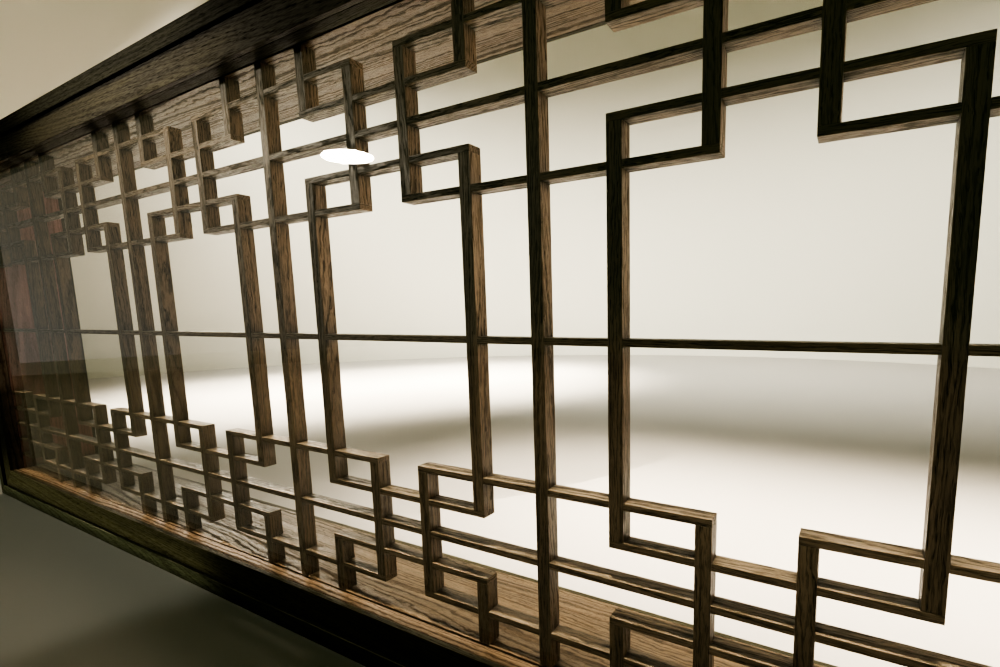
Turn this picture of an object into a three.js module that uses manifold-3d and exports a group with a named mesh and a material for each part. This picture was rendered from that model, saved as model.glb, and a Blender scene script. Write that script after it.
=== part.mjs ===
// A fixed lattice window of a hanok: a fretwork of dark oak bars behind a sheet of glass,
// in a deep oak surround with a stepped casing on each side of the wall.
// X runs along the window, Y goes from the camera's side of the wall into the room, Z is up.

import * as THREE from 'three';
import { mergeVertices } from 'three/addons/utils/BufferGeometryUtils.js';
import Module from 'manifold-3d';

// Driving dimensions, in millimetres
const PITCH = 174;                  // between neighbouring columns of the lattice
const BAY_PITCHES = 5;              // columns from one full-height bar to the next
const SIDE_BAYS = 2;                // full-height bars on each side of the middle one
const END_PITCHES = 3.8;            // from the last full-height bar to the jamb board
const BAR_FACE = 31;                // width of an upright bar, seen from the front
const RAIL_FACE = 15;               // height of a level bar, seen from the front
const BAR_DEPTH = 37;               // front to back, the same for every bar
const FIRST_ROW = 320;              // middle rail to the nearest row of the fretwork
const ROW_STEP = 82;                // between the rows of the fretwork
const HALF_OPENING_HEIGHT = 726;    // middle rail to the sill, and to the head

const BOARD_THICKNESS = 36;         // the boards that line the wall opening
const WALL_DEPTH = 326;             // between the casings of the two sides
const LATTICE_SETBACK = 44;         // from the wall's near face to the front of the bars
const GLASS_THICKNESS = 8;
const GLASS_GAP = 2;                // between the glass and the bars
const REBATE_DEPTH = 14;            // the glass and its beads stand this deep in the boards
const GLASS_CLEARANCE = 2;          // under the edge of the glass

const CASING_WIDTH = 89;
const CASING_THICKNESS = 14;
const STRIP_WIDTH = 53;             // the raised strip round the casing
const STRIP_THICKNESS = 25;
const GAP = 0.3;                    // between pieces that touch

// Worked out from the driving dimensions
const HALF_OPENING_WIDTH = (SIDE_BAYS * BAY_PITCHES + END_PITCHES) * PITCH;
const STRIP_OUTER = CASING_WIDTH + STRIP_WIDTH;
const WALL_FRONT = -WALL_DEPTH / 2;
const WALL_BACK = WALL_DEPTH / 2;
const LATTICE_FRONT = WALL_FRONT + LATTICE_SETBACK;
const GLASS_BACK = LATTICE_FRONT - GLASS_GAP;
const GLASS_FRONT = GLASS_BACK - GLASS_THICKNESS;
const MIDDLE_HEIGHT = HALF_OPENING_HEIGHT + STRIP_OUTER;

const wasm = await Module();
wasm.setup();

const darkOak = { color: 0x4a3826, roughness: 0.62, metalness: 0 };
const boardOak = { color: 0x8a6c4c, roughness: 0.6, metalness: 0 };
const casingOak = { color: 0x4d371f, roughness: 0.55, metalness: 0 };
const clearGlass = { color: 0xdfe8e4, roughness: 0.05, metalness: 0, transparent: true, opacity: 0.2 };

const windowGroup = new THREE.Group();
windowGroup.position.z = MIDDLE_HEIGHT;

function addPiece(name, geometry, look) {
  const mesh = new THREE.Mesh(geometry, new THREE.MeshStandardMaterial(look));
  mesh.name = name;
  windowGroup.add(mesh);
  return mesh;
}

// A box between two corners
function boxBetween(x0, x1, y0, y1, z0, z1) {
  const box = new THREE.BoxGeometry(x1 - x0, y1 - y0, z1 - z0);
  box.translate((x0 + x1) / 2, (y0 + y1) / 2, (z0 + z1) / 2);
  return box;
}

// An outline in the window's plane, given as [x, z] points, made solid from y0 to y1
function slabFromOutline(points, y0, y1) {
  const outline = new THREE.Shape(points.map(([x, z]) => new THREE.Vector2(x, z)));
  const slab = new THREE.ExtrudeGeometry(outline, { depth: y1 - y0, bevelEnabled: false });
  slab.rotateX(Math.PI / 2);
  slab.translate(0, y1, 0);
  return slab;
}

// A section given as [y, z] points, made solid along X
function barFromSection(points, x0, x1) {
  const section = new THREE.Shape(points.map(([y, z]) => new THREE.Vector2(y, z)));
  const bar = new THREE.ExtrudeGeometry(section, { depth: x1 - x0, bevelEnabled: false });
  bar.rotateZ(Math.PI / 2);
  bar.rotateY(Math.PI / 2);
  bar.translate(x0, 0, 0);
  return bar;
}

// Joining solids
function toSolid(geometry) {
  const bare = geometry.clone();
  bare.deleteAttribute('normal');
  bare.deleteAttribute('uv');
  const merged = mergeVertices(bare, 1e-4);
  return new wasm.Manifold(new wasm.Mesh({
    numProp: 3,
    vertProperties: new Float32Array(merged.attributes.position.array),
    triVerts: new Uint32Array(merged.index.array),
  }));
}

function toGeometry(solid) {
  const mesh = solid.getMesh();
  const geometry = new THREE.BufferGeometry();
  geometry.setAttribute('position', new THREE.BufferAttribute(mesh.vertProperties, 3));
  geometry.setIndex(new THREE.BufferAttribute(mesh.triVerts, 1));
  geometry.computeVertexNormals();
  return geometry;
}

// The fretwork. Columns and rows are counted from the middle of the window.
// Row 0 is the middle rail, and rows 1 to 5 follow it up, and as -1 to -5 down.
function rowHeight(row) {
  return row === 0 ? 0 : Math.sign(row) * (FIRST_ROW + (Math.abs(row) - 1) * ROW_STEP);
}

function upright(column, z0, z1) {
  const x = column * PITCH;
  return boxBetween(
    x - BAR_FACE / 2, x + BAR_FACE / 2, LATTICE_FRONT, LATTICE_FRONT + BAR_DEPTH, z0, z1);
}

function levelBar(row, x0, x1) {
  const z = rowHeight(row);
  const reach = HALF_OPENING_WIDTH - GAP;
  return boxBetween(
    Math.max(x0, -reach), Math.min(x1, reach), LATTICE_FRONT, LATTICE_FRONT + BAR_DEPTH,
    z - RAIL_FACE / 2, z + RAIL_FACE / 2);
}

function latticeBars() {
  const bars = [];
  const reach = HALF_OPENING_HEIGHT - GAP;
  const farReach = HALF_OPENING_WIDTH;
  const half = RAIL_FACE / 2;
  const side = BAR_FACE / 2;
  const lastColumn = Math.floor(farReach / PITCH);

  for (let column = -lastColumn; column <= lastColumn; column += 1) {
    const place = Math.abs(column) % BAY_PITCHES;
    const fromFull = Math.min(place, BAY_PITCHES - place);
    if (fromFull === 0) {
      bars.push(upright(column, -reach, reach));
    }
    if (fromFull === 1) {
      bars.push(upright(column, rowHeight(-2) - half, rowHeight(2) + half));
      bars.push(upright(column, -reach, rowHeight(-4) + half));
      bars.push(upright(column, rowHeight(4) - half, reach));
    }
    if (fromFull === 2) {
      bars.push(upright(column, rowHeight(-5) - half, rowHeight(-1) + half));
      bars.push(upright(column, rowHeight(1) - half, rowHeight(5) + half));
    }
  }

  for (let bay = -SIDE_BAYS - 1; bay <= SIDE_BAYS + 1; bay += 1) {
    const full = bay * BAY_PITCHES * PITCH;
    for (const row of [-5, -1, 1, 5]) {
      const x0 = full - 2 * PITCH - side;
      const x1 = full + 2 * PITCH + side;
      if (x0 < farReach && x1 > -farReach) {
        bars.push(levelBar(row, x0, x1));
      }
    }
    for (const row of [-4, -2, 2, 4]) {
      const x0 = full + PITCH - side;
      const x1 = full + 4 * PITCH + side;
      if (x0 < farReach && x1 > -farReach) {
        bars.push(levelBar(row, x0, x1));
      }
    }
  }
  for (const row of [-3, 0, 3]) {
    bars.push(levelBar(row, -farReach, farReach));
  }
  return bars;
}

function addLattice() {
  const fused = latticeBars().map(toSolid).reduce((whole, bar) => whole.add(bar));
  addPiece('lattice', toGeometry(fused), darkOak);
}

// The lining boards, each with a rebate on its near edge for the glass and the beads
function boardSection(inner, outward) {
  const face = inner;
  const rebate = inner + outward * REBATE_DEPTH;
  const back = inner + outward * BOARD_THICKNESS;
  const rebateBack = GLASS_BACK + GAP;
  return [
    [WALL_FRONT, rebate], [rebateBack, rebate], [rebateBack, face],
    [WALL_BACK, face], [WALL_BACK, back], [WALL_FRONT, back],
  ];
}

function addLiningBoards() {
  const length = HALF_OPENING_WIDTH + BOARD_THICKNESS;
  const sill = barFromSection(boardSection(-HALF_OPENING_HEIGHT, -1), -length, length);
  const head = barFromSection(boardSection(HALF_OPENING_HEIGHT, 1), -length, length);
  addPiece('sill_board', sill, boardOak);
  addPiece('head_board', head, boardOak);

  const top = HALF_OPENING_HEIGHT - GAP;
  for (const [name, side] of [['jamb_board_left', -1], ['jamb_board_right', 1]]) {
    const inner = side * HALF_OPENING_WIDTH;
    const jamb = barFromSection(boardSection(inner, side), -top, top);
    jamb.rotateY(Math.PI / 2);
    addPiece(name, jamb, boardOak);
  }
}

// The four sides of a flat mitred frame between an inner and an outer distance from the opening
function addMitredFrame(name, near, far, y0, y1, look) {
  const x0 = HALF_OPENING_WIDTH + near;
  const x1 = HALF_OPENING_WIDTH + far;
  const z0 = HALF_OPENING_HEIGHT + near;
  const z1 = HALF_OPENING_HEIGHT + far;
  const cut = GAP / Math.SQRT2;
  const level = [[-x1 + cut, z1], [-x0 + cut, z0], [x0 - cut, z0], [x1 - cut, z1]];
  const plumb = [[x0, -z0 + cut], [x1, -z1 + cut], [x1, z1 - cut], [x0, z0 - cut]];
  const turned = (points) => points.map(([x, z]) => [-x, -z]);
  addPiece(`${name}_top`, slabFromOutline(level, y0, y1), look);
  addPiece(`${name}_bottom`, slabFromOutline(turned(level), y0, y1), look);
  addPiece(`${name}_right`, slabFromOutline(plumb, y0, y1), look);
  addPiece(`${name}_left`, slabFromOutline(turned(plumb), y0, y1), look);
}

function addGlass() {
  const edge = REBATE_DEPTH - GLASS_CLEARANCE;
  const x = HALF_OPENING_WIDTH + edge;
  const z = HALF_OPENING_HEIGHT + edge;
  addPiece('glass_pane', boxBetween(-x, x, GLASS_FRONT, GLASS_BACK, -z, z), clearGlass);
}

function addBeads() {
  const front = WALL_FRONT;
  addMitredFrame('glass_bead', 0, REBATE_DEPTH - GAP, front, GLASS_FRONT - GAP, boardOak);
}

function addCasings() {
  const near = WALL_FRONT - GAP;
  const far = WALL_BACK + GAP;
  const edge = CASING_WIDTH;
  addMitredFrame('front_casing', 0, edge, near - CASING_THICKNESS, near, casingOak);
  addMitredFrame('front_strip', edge + GAP, STRIP_OUTER, near - STRIP_THICKNESS, near, casingOak);
  addMitredFrame('room_casing', 0, edge, far, far + CASING_THICKNESS, casingOak);
  addMitredFrame('room_strip', edge + GAP, STRIP_OUTER, far, far + STRIP_THICKNESS, casingOak);
}

addLiningBoards();
addGlass();
addBeads();
addLattice();
addCasings();

export default windowGroup;
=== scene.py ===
import math
import random

import bmesh
import bpy
from mathutils import Matrix, Vector


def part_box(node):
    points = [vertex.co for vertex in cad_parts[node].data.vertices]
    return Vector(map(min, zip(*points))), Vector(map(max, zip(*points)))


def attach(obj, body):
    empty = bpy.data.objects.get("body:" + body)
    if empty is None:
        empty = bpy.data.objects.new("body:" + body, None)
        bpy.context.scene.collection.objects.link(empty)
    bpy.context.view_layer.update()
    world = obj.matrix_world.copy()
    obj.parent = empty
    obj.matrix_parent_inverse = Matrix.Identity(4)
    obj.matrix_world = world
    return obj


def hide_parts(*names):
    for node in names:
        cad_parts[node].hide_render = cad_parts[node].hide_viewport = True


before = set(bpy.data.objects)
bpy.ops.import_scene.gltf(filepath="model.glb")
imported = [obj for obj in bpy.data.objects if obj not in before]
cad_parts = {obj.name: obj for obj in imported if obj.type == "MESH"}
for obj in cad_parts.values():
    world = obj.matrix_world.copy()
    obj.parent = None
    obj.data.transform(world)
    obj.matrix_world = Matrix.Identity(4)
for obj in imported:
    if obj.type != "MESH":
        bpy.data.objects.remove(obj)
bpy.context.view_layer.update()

# Sizes, in metres
MM = 0.001
PITCH = 174 * MM            # between neighbouring columns of the lattice
BAY_PITCHES = 5             # columns from one full-height bar to the next
SIDE_BAYS = 2               # full-height bars on each side of the middle one
BAR_FACE = 31 * MM          # width of an upright bar
RAIL_FACE = 15 * MM         # height of a level bar
FIRST_ROW = 320 * MM        # middle rail to the nearest row of the fretwork
ROW_STEP = 82 * MM          # between the rows
LAP_SLACK = 0.15 * MM       # the hairline left round each half lap
REBATE_DEPTH = 14 * MM      # the step in the lining boards that takes the glass
REBATE_SLACK = 2 * MM       # from the back of the glass to the end of that step
ARRIS = 0.8 * MM            # the eased edges of the bars
BOARD_ARRIS = 1.2 * MM
STRIP_ARRIS = 2.2 * MM      # handled and swept against, so rounder

# The lattice's own box gives the opening
lattice_low, lattice_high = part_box("lattice")
FRONT, BACK = lattice_low.y, lattice_high.y
HALF_LAP = (FRONT + BACK) / 2
MIDDLE = (lattice_low.z + lattice_high.z) / 2
REACH_X = lattice_high.x
REACH_Z = (lattice_high.z - lattice_low.z) / 2

# How far from the log's pith the pieces were cut, in metres, nearest and farthest
BAR_PITH = (0.10, 0.22)
LEVEL_BOARD_PITH = (0.26, 0.30)
JAMB_PITH = (0.06, 0.10)
CASING_PITH = (0.30, 0.50)

# In which direction round the pith they were cut, in radians, and how far each strays from that
LEVEL_BOARD_ANGLE = 0.8
JAMB_ANGLE = 0.3
CASING_ANGLE = 0.3
ANGLE_SLACK = 0.1

LOG_LENGTH = 40.0           # metres of log, end to end, that the pieces were cut from
GRAIN_LEAN = 0.03           # how steeply the grain may run off a piece's length
TONES = (0.86, 1.12)        # how dark and how pale the stain took, from one piece to the next

# How far handling has rubbed the edges, from 0 to 1. On the frames' bottom sides the pale rubbed edge is
# also a painted highlight, where the edge catches the light from above
LEVEL_BOARD_RUBBED = 0.2
SIDES_RUBBED_AND_HIGHLIT = {"top": 0.0, "bottom": 1.0, "left": 0.4, "right": 0.4}

rng = random.Random(174)


# A Mix node's sockets, by number because it repeats their names: for colours, and for plain values
FIRST, SECOND, MIXED = 6, 7, 2
FIRST_VALUE, SECOND_VALUE = 2, 3


def linear(hex_colour):
    """An sRGB hex colour as the linear RGBA that a shader takes."""
    parts = [int(hex_colour[i:i + 2], 16) / 255 for i in (1, 3, 5)]
    return [p / 12.92 if p <= 0.04045 else ((p + 0.055) / 1.055) ** 2.4 for p in parts] + [1.0]


def node(tree, kind, inputs=None, **settings):
    """A new shader node with its settings, its values and its links."""
    made = tree.nodes.new("ShaderNode" + kind)
    for name, value in settings.items():
        setattr(made, name, value)
    for name, value in (inputs or {}).items():
        if isinstance(value, bpy.types.NodeSocket):
            tree.links.new(value, made.inputs[name])
        else:
            made.inputs[name].default_value = value
    return made


def new_material(name):
    material = bpy.data.materials.new(name)
    material.use_nodes = True
    material.node_tree.nodes.clear()
    return material, material.node_tree


# Oak, as it grows in the log and as it is finished
def grain_noise(tree, place, long_mm, wide_mm, detail=1.0):
    """Noise drawn out along the grain, with its size along the grain and across it."""
    repeats = (1000 / long_mm, 1000 / wide_mm, 1000 / wide_mm)
    drawn = node(tree, "VectorMath", {0: place, 1: repeats}, operation="MULTIPLY").outputs[0]
    return node(tree, "TexNoise", {"Vector": drawn, "Scale": 1.0, "Detail": detail}).outputs


def waver(tree, place, noise, reach):
    """A place in the log, moved across the grain by noise. The noise ranges over reach, in metres, and
    mostly keeps to the middle quarter of it."""
    centred = node(tree, "VectorMath", {0: noise["Color"], 1: (0.5, 0.5, 0.5)}, operation="SUBTRACT")
    move = node(
        tree, "VectorMath", {0: centred.outputs[0], 1: (0.0, reach, reach)}, operation="MULTIPLY")
    return node(tree, "VectorMath", {0: place, 1: move.outputs[0]}, operation="ADD").outputs[0]


def porous_band(tree, place, ring_mm, taper):
    """How deep a place lies in the porous band that starts its year's ring, from 0 to 1. The rings lie
    round the pith of a log that tapers, and are of uneven width."""
    across = node(tree, "VectorMath", {0: place, 1: (0.0, 1.0, 1.0)}, operation="MULTIPLY").outputs[0]
    radius = node(tree, "VectorMath", {0: across}, operation="LENGTH").outputs["Value"]
    along = node(tree, "SeparateXYZ", {0: place}).outputs["X"]
    cone = node(tree, "Math", {0: along, 1: taper, 2: radius}, operation="MULTIPLY_ADD").outputs[0]
    rings = node(tree, "Math", {0: cone, 1: 1000 / ring_mm}, operation="MULTIPLY").outputs[0]

    # Good years and poor ones come about three at a time, and crowd the rings or spread them
    uneven = node(tree, "TexNoise", {"W": rings, "Scale": 0.31, "Detail": 1.0}, noise_dimensions="1D")
    drift = node(tree, "Math", {0: uneven.outputs["Fac"], 1: 3.0, 2: rings}, operation="MULTIPLY_ADD")
    phase = node(tree, "Math", {0: drift.outputs[0]}, operation="FRACT").outputs[0]

    # The band starts sharply in spring and has faded by the middle of the year's growth
    band = node(tree, "ValToRGB", {"Fac": phase})
    ramp = band.color_ramp
    for stop in ramp.elements:
        stop.color = (0.25, 0.25, 0.25, 1)
    for position, level in ((0.04, 1.0), (0.24, 1.0), (0.36, 0.2), (0.55, 0.0), (0.90, 0.0)):
        stop = ramp.elements.new(position)
        stop.color = (level, level, level, 1)
    return band.outputs["Color"]


def stained_oak(
        name, band, field, pore, worn_and_highlit, ring_mm, taper, roughness, wear_and_highlight,
        sway_mm=30.0, wave_mm=4.4, row_mm=1.8, ringed=0.42, dashed=0.62, gleam=0.5):
    """Open-pored oak, planed, stained and lacquered. The stain gathers in the porous band that starts
    each year's ring, so the rings show as dark wavy lines along a bar and as arches on a board.

    The colours are those of the porous band, the wood between, the pores and the rubbed edges, whose
    pale colour is also a painted highlight where an edge catches the light. ring_mm is a year's growth,
    and taper how fast the log thins. sway_mm and wave_mm are the ranges that the rings waver over,
    slowly and quickly. ringed and dashed say how strongly the band and its rows of pores are stained."""
    material, tree = new_material(name)
    in_log = node(tree, "Attribute", attribute_name="log_place").outputs["Vector"]

    # A log isn't round or straight: its rings sway over half a metre and ripple over a few centimetres
    swayed = waver(tree, in_log, grain_noise(tree, in_log, 625, 70), sway_mm * MM)
    place = waver(tree, swayed, grain_noise(tree, in_log, 40, 14), wave_mm * MM)
    porous = porous_band(tree, place, ring_mm, taper)

    # Dashes along the grain, 45 mm long, where rows of pores hold the stain: most of them lie in the
    # porous band. A real pore is 0.3 mm wide, so rows of them are drawn, row_mm from one to the next
    rows = grain_noise(tree, place, 45, row_mm)["Fac"]
    crowd = node(tree, "Math", {0: porous, 1: 0.13, 2: rows}, operation="MULTIPLY_ADD").outputs[0]
    dash = node(tree, "MapRange", {"Value": crowd, "From Min": 0.53, "From Max": 0.62}).outputs["Result"]
    banded = node(tree, "Math", {0: porous, 1: ringed}, operation="MULTIPLY").outputs[0]
    band_mask = node(
        tree, "Math", {0: dash, 1: dashed, 2: banded}, operation="MULTIPLY_ADD",
        use_clamp=True).outputs[0]

    # Single pores, drawn twice as wide as a real one, and seen only near by
    pores = grain_noise(tree, place, 33, 1.2)["Fac"]
    pore_cut = node(tree, "MapRange", {"Value": pores, "From Min": 0.52, "From Max": 0.60})
    share = node(tree, "Math", {0: porous, 1: 0.65, 2: 0.35}, operation="MULTIPLY_ADD").outputs[0]
    pore_mask = node(
        tree, "Math", {0: pore_cut.outputs["Result"], 1: share}, operation="MULTIPLY").outputs[0]

    # The stain took unevenly, in long patches and from one piece to the next. Corners are darkened by
    # ambient occlusion as painted shade
    patches = grain_noise(tree, place, 400, 22, detail=2.0)["Fac"]
    patch_tone = node(tree, "MapRange", {
        "Value": patches, "From Min": 0.3, "From Max": 0.7, "To Min": 0.70, "To Max": 1.25})
    # The piece's random tone, times the factor that paints light and shade onto the frames' sides
    tone_with_painted_shade = node(tree, "Attribute", attribute_name="tone_of_piece_with_painted_shade").outputs["Fac"]
    open_air = node(tree, "AmbientOcclusion", {"Distance": 60 * MM}, samples=6).outputs["AO"]
    painted_corner_shade = node(tree, "MapRange", {
        "Value": open_air, "From Min": 0.35, "From Max": 0.92, "To Min": 0.22, "To Max": 1.0})
    tone = node(
        tree, "Math", {0: patch_tone.outputs["Result"], 1: tone_with_painted_shade}, operation="MULTIPLY").outputs[0]
    tone = node(
        tree, "Math", {0: tone, 1: painted_corner_shade.outputs["Result"]}, operation="MULTIPLY").outputs[0]

    ringed_wood = node(
        tree, "Mix", {"Factor": band_mask, FIRST: linear(field), SECOND: linear(band)},
        data_type="RGBA").outputs[MIXED]
    pored_wood = node(
        tree, "Mix", {"Factor": pore_mask, FIRST: ringed_wood, SECOND: linear(pore)},
        data_type="RGBA").outputs[MIXED]
    toned = node(tree, "VectorMath", {0: pored_wood, "Scale": tone}, operation="SCALE").outputs[0]

    # Along the arrises the stain is rubbed pale, here more and there less, and the pale edge is also a
    # painted highlight where an arris catches the light
    arris = node(tree, "Attribute", attribute_name="arris").outputs["Fac"]
    rubbed = node(tree, "MapRange", {
        "Value": patches, "From Min": 0.40, "From Max": 0.58, "To Max": wear_and_highlight}).outputs["Result"]
    rubbed_and_highlit = node(tree, "Math", {0: rubbed, 1: arris}, operation="MULTIPLY").outputs[0]
    surface = node(
        tree, "Mix", {"Factor": rubbed_and_highlit, FIRST: toned, SECOND: linear(worn_and_highlit)},
        data_type="RGBA").outputs[MIXED]

    # Pores and porous bands lie open under the lacquer: they are sunk and dull
    pore_relief = node(tree, "Math", {0: pore_mask, 1: -1.0}, operation="MULTIPLY").outputs[0]
    relief = node(
        tree, "Math", {0: band_mask, 1: -0.5, 2: pore_relief}, operation="MULTIPLY_ADD").outputs[0]
    bump = node(tree, "Bump", {"Height": relief, "Distance": 0.3 * MM, "Strength": 0.8})
    dull = node(
        tree, "Math", {0: band_mask, 1: 0.9, 2: pore_mask}, operation="MULTIPLY_ADD",
        use_clamp=True).outputs[0]
    gloss = node(tree, "MapRange", {"Value": dull, "To Min": roughness, "To Max": roughness + 0.62})
    shader = node(tree, "BsdfPrincipled", {
        "Base Color": surface, "Roughness": gloss.outputs["Result"], "Normal": bump.outputs[0],
        "IOR": 1.52, "Specular IOR Level": gleam})
    node(tree, "OutputMaterial", {"Surface": shader.outputs[0]})
    return material


def float_glass(name):
    """Clear float glass, polished: it mirrors more the flatter it is seen, and is clear otherwise."""
    material, tree = new_material(name)
    shader = node(tree, "BsdfPrincipled", {
        "Base Color": linear("#f8fbf9"), "Roughness": 0.0, "IOR": 1.45, "Transmission Weight": 1.0})
    node(tree, "OutputMaterial", {"Surface": shader.outputs[0]})
    return material


def plain_paint(name, colour, roughness):
    """Matt studio paint, the same all over."""
    material, tree = new_material(name)
    shader = node(tree, "BsdfPrincipled", {"Base Color": linear(colour), "Roughness": roughness})
    node(tree, "OutputMaterial", {"Surface": shader.outputs[0]})
    return material


class Joinery:
    """Wooden prisms gathered into one mesh. Each is cut from its own place in a log, so that the grain
    runs on round its edges and no two are alike."""

    def __init__(self):
        self.mesh = bmesh.new()
        self.log_place = self.mesh.verts.layers.float_vector.new("log_place")
        self.tone_of_piece_with_painted_shade = self.mesh.verts.layers.float.new("tone_of_piece_with_painted_shade")
        self.arris = self.mesh.faces.layers.float.new("arris")

    def prism(
            self, outline, plane, start, end, grain, arris, pith, pith_angle=None, painted_light_and_shade=1.0,
            rubbed=1.0):
        """An outline in a plane, made solid from start to end across it, with its edges eased.
        plane names the two axes of the outline, and grain the axis that the wood grows along."""
        first, second = ("xyz".index(axis) for axis in plane)
        third = 3 - first - second
        piece = bmesh.new()
        corners = []
        for a, b in outline:
            point = [0.0, 0.0, 0.0]
            point[first], point[second], point[third] = a, b, start
            corners.append(piece.verts.new(point))
        face = piece.faces.new(corners)
        grown = bmesh.ops.extrude_face_region(piece, geom=[face])
        moved = [v for v in grown["geom"] if isinstance(v, bmesh.types.BMVert)]
        step = Vector((0, 0, 0))
        step[third] = end - start
        bmesh.ops.translate(piece, verts=moved, vec=step)
        bmesh.ops.recalc_face_normals(piece, faces=piece.faces)
        eased = bmesh.ops.bevel(
            piece, geom=piece.edges[:], offset=arris, segments=2, profile=0.5,
            affect="EDGES", clamp_overlap=True)
        self.take(piece, set(eased["faces"]), grain, pith, pith_angle, painted_light_and_shade, rubbed)

    def take(self, piece, eased, grain, pith, pith_angle, painted_light_and_shade, rubbed):
        """Add a piece to the mesh, with its place in the log, its tone times its factor of painted light
        and shade, and its rubbed edges, whose pale colour is partly a painted highlight.
        """
        along = "xyz".index(grain)
        sides = [i for i in range(3) if i != along]
        places = [v.co for v in piece.verts]
        centre = [(min(p[i] for p in places) + max(p[i] for p in places)) / 2 for i in range(3)]
        if pith_angle is None:
            angle = rng.uniform(0, 2 * math.pi)
        else:
            angle = pith_angle + rng.uniform(-ANGLE_SLACK, ANGLE_SLACK)
        away = rng.uniform(*pith)
        offset = (rng.uniform(0, LOG_LENGTH), away * math.cos(angle), away * math.sin(angle))
        lean = (rng.uniform(-GRAIN_LEAN, GRAIN_LEAN), rng.uniform(-GRAIN_LEAN, GRAIN_LEAN))
        # The random tone times the factor of painted light and shade for this side
        shade = rng.uniform(*TONES) * painted_light_and_shade
        copies = {}
        for vert in piece.verts:
            run = vert.co[along] - centre[along]
            new = self.mesh.verts.new(vert.co)
            new[self.log_place] = (
                vert.co[along] + offset[0],
                vert.co[sides[0]] - centre[sides[0]] + offset[1] + run * lean[0],
                vert.co[sides[1]] - centre[sides[1]] + offset[2] + run * lean[1])
            new[self.tone_of_piece_with_painted_shade] = shade
            copies[vert] = new
        for face in piece.faces:
            taken = self.mesh.faces.new([copies[v] for v in face.verts])
            taken[self.arris] = rubbed if face in eased else 0.0
        piece.free()

    def finish(self, name, material, solid):
        """Turn the mesh into the object that takes a solid's place."""
        data = bpy.data.meshes.new(name)
        self.mesh.to_mesh(data)
        self.mesh.free()
        made = bpy.data.objects.new(name, data)
        bpy.context.scene.collection.objects.link(made)
        data.materials.append(material)
        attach(made, "root")
        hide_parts(solid)


# The fretwork. Columns and rows are counted from the middle, and row 0 is the middle rail
def row_height(row):
    """How far a row lies above the middle rail."""
    if row == 0:
        return 0.0
    return math.copysign(FIRST_ROW + (abs(row) - 1) * ROW_STEP, row)


def fret_uprights():
    """Every upright as (x, lowest z, highest z), from the middle rail."""
    half = RAIL_FACE / 2
    last = int(REACH_X / PITCH)
    uprights = []
    for column in range(-last, last + 1):
        place = abs(column) % BAY_PITCHES
        from_full = min(place, BAY_PITCHES - place)
        x = column * PITCH
        if from_full == 0:
            uprights.append((x, -REACH_Z, REACH_Z))
        elif from_full == 1:
            uprights.append((x, row_height(-2) + half, row_height(2) - half))
            uprights.append((x, -REACH_Z, row_height(-4) - half))
            uprights.append((x, row_height(4) + half, REACH_Z))
        else:
            uprights.append((x, row_height(-5) + half, row_height(-1) - half))
            uprights.append((x, row_height(1) + half, row_height(5) - half))
    return uprights


def fret_levels():
    """Every level bar as (z, lowest x, highest x), from the middle rail."""
    side = BAR_FACE / 2
    levels = [(row_height(row), -REACH_X, REACH_X) for row in (-3, 0, 3)]
    for bay in range(-SIDE_BAYS - 1, SIDE_BAYS + 2):
        full = bay * BAY_PITCHES * PITCH
        spans = {
            (-5, -1, 1, 5): (full - 2 * PITCH - side, full + 2 * PITCH + side),
            (-4, -2, 2, 4): (full + PITCH - side, full + 4 * PITCH + side),
        }
        for rows, (x0, x1) in spans.items():
            x0, x1 = max(x0, -REACH_X), min(x1, REACH_X)
            if x1 - x0 > BAR_FACE:
                levels.extend((row_height(row), x0, x1) for row in rows)
    return levels


def make_lattice(material):
    """The bars, half lapped where they cross: uprights are notched behind and level bars in front."""
    uprights, levels = fret_uprights(), fret_levels()
    side, half = BAR_FACE / 2, RAIL_FACE / 2
    lattice = Joinery()
    for x, z0, z1 in uprights:
        crossings = sorted(
            z for z, x0, x1 in levels
            if x0 < x < x1 and z0 < z - half and z + half < z1)
        outline = [(z1, FRONT), (z0, FRONT), (z0, BACK)]
        for z in crossings:
            low, high = z - half - LAP_SLACK, z + half + LAP_SLACK
            outline += [(low, BACK), (low, HALF_LAP), (high, HALF_LAP), (high, BACK)]
        outline.append((z1, BACK))
        outline = [(MIDDLE + z, y) for z, y in outline]
        lattice.prism(outline, "zy", x - side, x + side, "z", ARRIS, BAR_PITH)
    notch = HALF_LAP + LAP_SLACK
    for z, x0, x1 in levels:
        crossings = sorted(
            x for x, z0, z1 in uprights
            if x0 < x - side and x + side < x1 and z0 < z - half and z + half < z1)
        outline = [(x1, BACK), (x0, BACK), (x0, FRONT)]
        for x in crossings:
            low, high = x - side - LAP_SLACK, x + side + LAP_SLACK
            outline += [(low, FRONT), (low, notch), (high, notch), (high, FRONT)]
        outline.append((x1, FRONT))
        lattice.prism(outline, "xy", MIDDLE + z - half, MIDDLE + z + half, "x", ARRIS, BAR_PITH)
    lattice.finish("lattice_bars", material, "lattice")


# The boards, beads and casings, each shaped again from its own solid's box
def rebated_section(near, far, face, back):
    """A lining board's section as (y, offset) points, from the near side of the wall to the far one,
    with the rebate for the glass cut from its face."""
    rebate = face + math.copysign(REBATE_DEPTH, back - face)
    rebate_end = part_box("glass_pane")[1].y + REBATE_SLACK
    return [
        (near, rebate), (rebate_end, rebate), (rebate_end, face),
        (far, face), (far, back), (near, back)]


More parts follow.
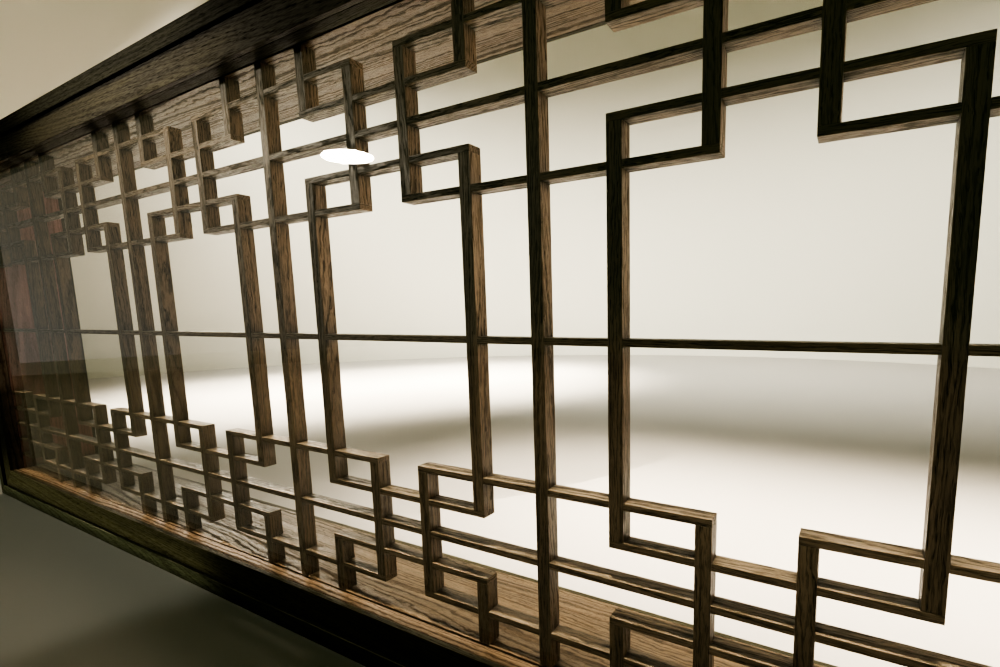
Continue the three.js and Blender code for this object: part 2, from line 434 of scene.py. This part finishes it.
def make_lining_boards(level_material, jamb_material):
    """The sill, the head and the two jambs. inward says which way the opening lies from each."""
    for key, inward in (("sill_board", 1), ("head_board", -1)):
        low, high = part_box(key)
        face, back = (high.z, low.z) if inward > 0 else (low.z, high.z)
        board = Joinery()
        board.prism(
            rebated_section(low.y, high.y, face, back), "yz", low.x, high.x, "x", BOARD_ARRIS,
            LEVEL_BOARD_PITH, inward * LEVEL_BOARD_ANGLE, rubbed=LEVEL_BOARD_RUBBED)
        board.finish(key + "_planed", level_material, key)
    for key, inward in (("jamb_board_left", 1), ("jamb_board_right", -1)):
        low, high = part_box(key)
        face, back = (high.x, low.x) if inward > 0 else (low.x, high.x)
        board = Joinery()
        board.prism(
            rebated_section(low.y, high.y, face, back), "yx", low.z, high.z, "z", BOARD_ARRIS,
            JAMB_PITH, JAMB_ANGLE)
        board.finish(key + "_planed", jamb_material, key)


def make_mitred(family, materials, arris, painted_light_and_shade):
    """The four mitred sides of a frame. Its top, bottom, left and right have a material and a factor
    each,
    in that order: the factor darkens a side as painted shade and makes it paler as painted light."""
    for (side, rubbed), material, pale in zip(SIDES_RUBBED_AND_HIGHLIT.items(), materials, painted_light_and_shade):
        key = family + "_" + side
        low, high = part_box(key)
        if side in ("top", "bottom"):
            width = high.z - low.z
            inner, outer = (low.z, high.z) if side == "top" else (high.z, low.z)
            outline = [(low.x, outer), (low.x + width, inner), (high.x - width, inner), (high.x, outer)]
            grain = "x"
        else:
            width = high.x - low.x
            inner, outer = (high.x, low.x) if side == "left" else (low.x, high.x)
            outline = [(outer, low.z), (inner, low.z + width), (inner, high.z - width), (outer, high.z)]
            grain = "z"
        board = Joinery()
        board.prism(
            outline, "xz", low.y, high.y, grain, arris, CASING_PITH, CASING_ANGLE, pale, rubbed)
        board.finish(key + "_planed", material, key)


lattice_oak = stained_oak(
    "dark_stained_oak_bar", band="#2f281a", field="#64533d", pore="#15120b", worn_and_highlit="#8c7a60",
    ring_mm=7.0, taper=0.016, roughness=0.38, wear_and_highlight=0.15, wave_mm=5.6, row_mm=3.0, ringed=0.22,
    dashed=0.5)
board_oak = stained_oak(
    "brown_stained_oak_board", band="#3b2e1c", field="#614e35", pore="#281e12", worn_and_highlit="#7e6b50",
    ring_mm=10.0, taper=0.014, roughness=0.40, wear_and_highlight=0.4, wave_mm=8.0, row_mm=1.4, ringed=0.58,
    dashed=0.38)
jamb_oak = stained_oak(
    "reddish_stained_oak_board", band="#7a5550", field="#9a6e68", pore="#563c38", worn_and_highlit="#a08476",
    ring_mm=13.0, taper=0.020, roughness=0.40, wear_and_highlight=0.3, sway_mm=60.0, wave_mm=6.4, dashed=0.3)
casing_oak = stained_oak(
    "dark_oiled_oak_casing", band="#2b2919", field="#46422b", pore="#1b190f", worn_and_highlit="#857862",
    ring_mm=4.0, taper=0.006, roughness=0.56, wear_and_highlight=0.5, sway_mm=8.0, wave_mm=1.6, ringed=0.1,
    dashed=0.2, gleam=0.22)
strip_oak = stained_oak(
    "black_stained_oak_strip", band="#282819", field="#3d3e2b", pore="#18180f", worn_and_highlit="#a0967e",
    ring_mm=4.0, taper=0.006, roughness=0.62, wear_and_highlight=0.55, sway_mm=8.0, wave_mm=1.6, ringed=0.1,
    dashed=0.2, gleam=0.12)

make_lattice(lattice_oak)
make_lining_boards(board_oak, jamb_oak)
# The head bead takes the dark strip oak as painted shade; its other sides are board oak, and the factors
# paint light and shade
make_mitred(
    "glass_bead", [strip_oak] + 3 * [board_oak], BOARD_ARRIS, (0.8, 1.1, 0.6, 0.6))
# Each side's factor darkens it as painted shade and makes it paler as painted light, the head strip
# darkest
for family in ("front_casing", "room_casing"):
    make_mitred(family, 4 * [casing_oak], BOARD_ARRIS, (0.6, 0.8, 0.5, 0.8))
for family in ("front_strip", "room_strip"):
    make_mitred(family, 4 * [strip_oak], STRIP_ARRIS, (0.36, 1.1, 0.6, 0.6))

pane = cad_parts["glass_pane"]
pane.data.materials.clear()
pane.data.materials.append(float_glass("clear_float_glass"))
pane.visible_shadow = False     # the lamps shine through it, and only the eye sees what it mirrors
pane.visible_diffuse = pane.visible_glossy = False


# The camera, worked out from the lattice's edges in the photograph
CAMERA_PLACE = (1.4432, -0.9744, 0.9293)
CAMERA_TURN = (0.1335, 0.4905, 0.0202)      # rotation vector of the view, in radians
FOCAL_PIXELS = 500.2
IMAGE_WIDTH, IMAGE_HEIGHT = 1000, 667
AXIS_PIXEL = (588.1, 377.4)                 # where the lens's axis meets the image


def make_camera():
    data = bpy.data.cameras.new("camera")
    data.sensor_width = 36.0
    data.lens = FOCAL_PIXELS / IMAGE_WIDTH * data.sensor_width
    data.shift_x = (IMAGE_WIDTH / 2 - AXIS_PIXEL[0]) / IMAGE_WIDTH
    data.shift_y = (AXIS_PIXEL[1] - IMAGE_HEIGHT / 2) / IMAGE_WIDTH
    data.clip_start, data.clip_end = 0.02, 100.0
    turn = Vector(CAMERA_TURN)
    view = Matrix.Rotation(turn.length, 3, turn.normalized())
    looking_in = Matrix(((1, 0, 0), (0, 0, -1), (0, 1, 0)))     # right, down and ahead, unturned
    right, down, ahead = view @ looking_in
    camera = bpy.data.objects.new("camera", data)
    camera.matrix_world = Matrix((
        (right[0], -down[0], -ahead[0], CAMERA_PLACE[0]),
        (right[1], -down[1], -ahead[1], CAMERA_PLACE[1]),
        (right[2], -down[2], -ahead[2], CAMERA_PLACE[2]),
        (0, 0, 0, 1)))
    bpy.context.scene.collection.objects.link(camera)
    bpy.context.scene.camera = camera


def place_stage(name, shape, paint):
    """Turn a shape into a painted object of the studio, beside the window and not part of it."""
    data = bpy.data.meshes.new(name)
    shape.to_mesh(data)
    shape.free()
    data.materials.append(paint)
    made = bpy.data.objects.new(name, data)
    bpy.context.scene.collection.objects.link(made)


def make_floor():
    disc = bmesh.new()
    bmesh.ops.create_circle(disc, cap_ends=True, radius=14.0, segments=96)
    place_stage("studio_floor", disc, plain_paint("pale_floor_paint", "#a6a19b", 0.7))


def make_backdrop():
    """A pale wall, curved round the far side, that the window is seen against."""
    radius, height, steps = 9.0, 12.0, 64
    first_degrees, span_degrees = -10, 200
    wall = bmesh.new()
    edges = []
    for i in range(steps + 1):
        angle = math.radians(first_degrees + span_degrees * i / steps)
        x, y = radius * math.cos(angle), radius * math.sin(angle)
        edges.append((wall.verts.new((x, y, 0)), wall.verts.new((x, y, height))))
    for (a, b), (c, d) in zip(edges, edges[1:]):
        wall.faces.new((a, c, d, b)).smooth = True
    place_stage("studio_backdrop", wall, plain_paint("pale_wall_paint", "#e2ddd0", 0.8))


def make_world():
    """Dim air, a little brighter towards the left. The eye alone sees it pale all round."""
    world = bpy.data.worlds.new("studio_air")
    world.use_nodes = True
    tree = world.node_tree
    tree.nodes.clear()
    seen = node(tree, "LightPath").outputs["Is Camera Ray"]
    towards = node(tree, "SeparateXYZ", {0: node(tree, "TexCoord").outputs["Generated"]}).outputs
    leftwards = node(
        tree, "MapRange", {"Value": towards["X"], "From Min": -0.3, "From Max": -1.0},
        interpolation_type="SMOOTHSTEP").outputs["Result"]
    upwards = node(
        tree, "MapRange", {"Value": towards["Z"], "From Min": 0.0, "From Max": 0.35}).outputs["Result"]
    left_air = node(
        tree, "Mix", {"Factor": upwards, FIRST: linear("#d6cec6"), SECOND: linear("#c8b088")},
        data_type="RGBA").outputs[MIXED]
    lit_air = node(
        tree, "Mix", {"Factor": leftwards, FIRST: linear("#a6c488"), SECOND: left_air},
        data_type="RGBA").outputs[MIXED]
    colour = node(
        tree, "Mix", {"Factor": seen, FIRST: lit_air, SECOND: linear("#d2c9b2")},
        data_type="RGBA").outputs[MIXED]
    dim = node(tree, "Math", {0: leftwards, 1: 0.10, 2: 0.15}, operation="MULTIPLY_ADD").outputs[0]
    strength = node(tree, "Mix", {"Factor": seen, FIRST_VALUE: dim, SECOND_VALUE: 0.5}).outputs[0]
    air = node(tree, "Background", {"Color": colour, "Strength": strength})
    node(tree, "OutputWorld", {"Surface": air.outputs[0]})
    bpy.context.scene.world = world


def soft_lamp(name, place, target, size, power, colour, spread, shape="RECTANGLE", mirrored=True):
    """A soft lamp that isn't seen itself. spread is the width of its beam, in degrees, and mirrored
    lets it show in the glass and gleam on the wood."""
    data = bpy.data.lights.new(name, "AREA")
    data.shape = shape
    data.size, data.size_y = size
    data.energy = power
    data.color = linear(colour)[:3]
    data.spread = math.radians(spread)
    lamp = bpy.data.objects.new(name, data)
    lamp.location = place
    lamp.rotation_euler = (Vector(target) - Vector(place)).to_track_quat("-Z", "Y").to_euler()
    lamp.visible_camera = lamp.visible_transmission = False
    lamp.visible_glossy = mirrored
    bpy.context.scene.collection.objects.link(lamp)


make_camera()
make_floor()
make_backdrop()
make_world()

# Behind the window: over the floor, over the sill, from both sides, and along the backdrop
soft_lamp("room_ceiling", (-3.6, 3.3, 4.4), (-3.9, 3.5, 0.0), (4.6, 2.2), 880, "#fff2e0", 48)
soft_lamp("room_near", (1.8, 1.1, 4.2), (1.8, 1.1, 0.0), (4.2, 1.0), 170, "#fff0dc", 36)
soft_lamp("room_side", (-7.0, 3.6, 2.2), (-0.2, 0.0, 0.9), (2.6, 2.8), 16, "#fff0da", 46)
soft_lamp("room_far_side", (4.4, 2.6, 1.7), (1.2, 0.0, 1.35), (1.6, 1.6), 5.8, "#ffd6b0", 38)
soft_lamp("room_wash", (-1.8, 3.4, 5.5), (-2.4, 7.4, 0.0), (12.0, 2.0), 490, "#fffaf0", 104)

# Before the window: the lamp that the glass mirrors, then the upper bars, the edge of the sill, the
# right end, the floor and the lowest casing
soft_lamp(
    "passage_lamp", (-2.3, -2.15, 2.2), (-0.4, -0.12, 1.36), (0.40, 0.11), 1.8, "#fff0dc", 36,
    shape="ELLIPSE")
soft_lamp("passage_wash", (-0.8, -0.80, 2.35), (-0.8, -0.12, 1.50), (1.3, 0.15), 2.5, "#fff0e0", 38)
soft_lamp(
    "passage_edge", (0.0, -0.20, 1.45), (0.0, -0.095, 0.14), (4.8, 0.03), 5.4, "#f6f2f4", 8,
    mirrored=False)
soft_lamp("passage_side", (3.6, -3.0, 1.6), (1.6, -0.12, 1.45), (2.0, 2.0), 0.62, "#fbf2da", 38)
soft_lamp(
    "passage_floor", (-1.2, -2.8, 2.8), (-0.9, -0.6, 0.0), (2.6, 1.0), 0.5, "#f4f2e8", 40,
    mirrored=False)
soft_lamp(
    "passage_low", (-2.1, -1.5, 0.26), (-1.8, -0.19, 0.08), (2.6, 0.2), 2.1, "#f0f2e6", 12,
    mirrored=False)

bpy.context.scene.view_settings.look = "AgX - High Contrast"     # the crisp dark of the photograph
bpy.context.scene.view_settings.exposure = 0.3
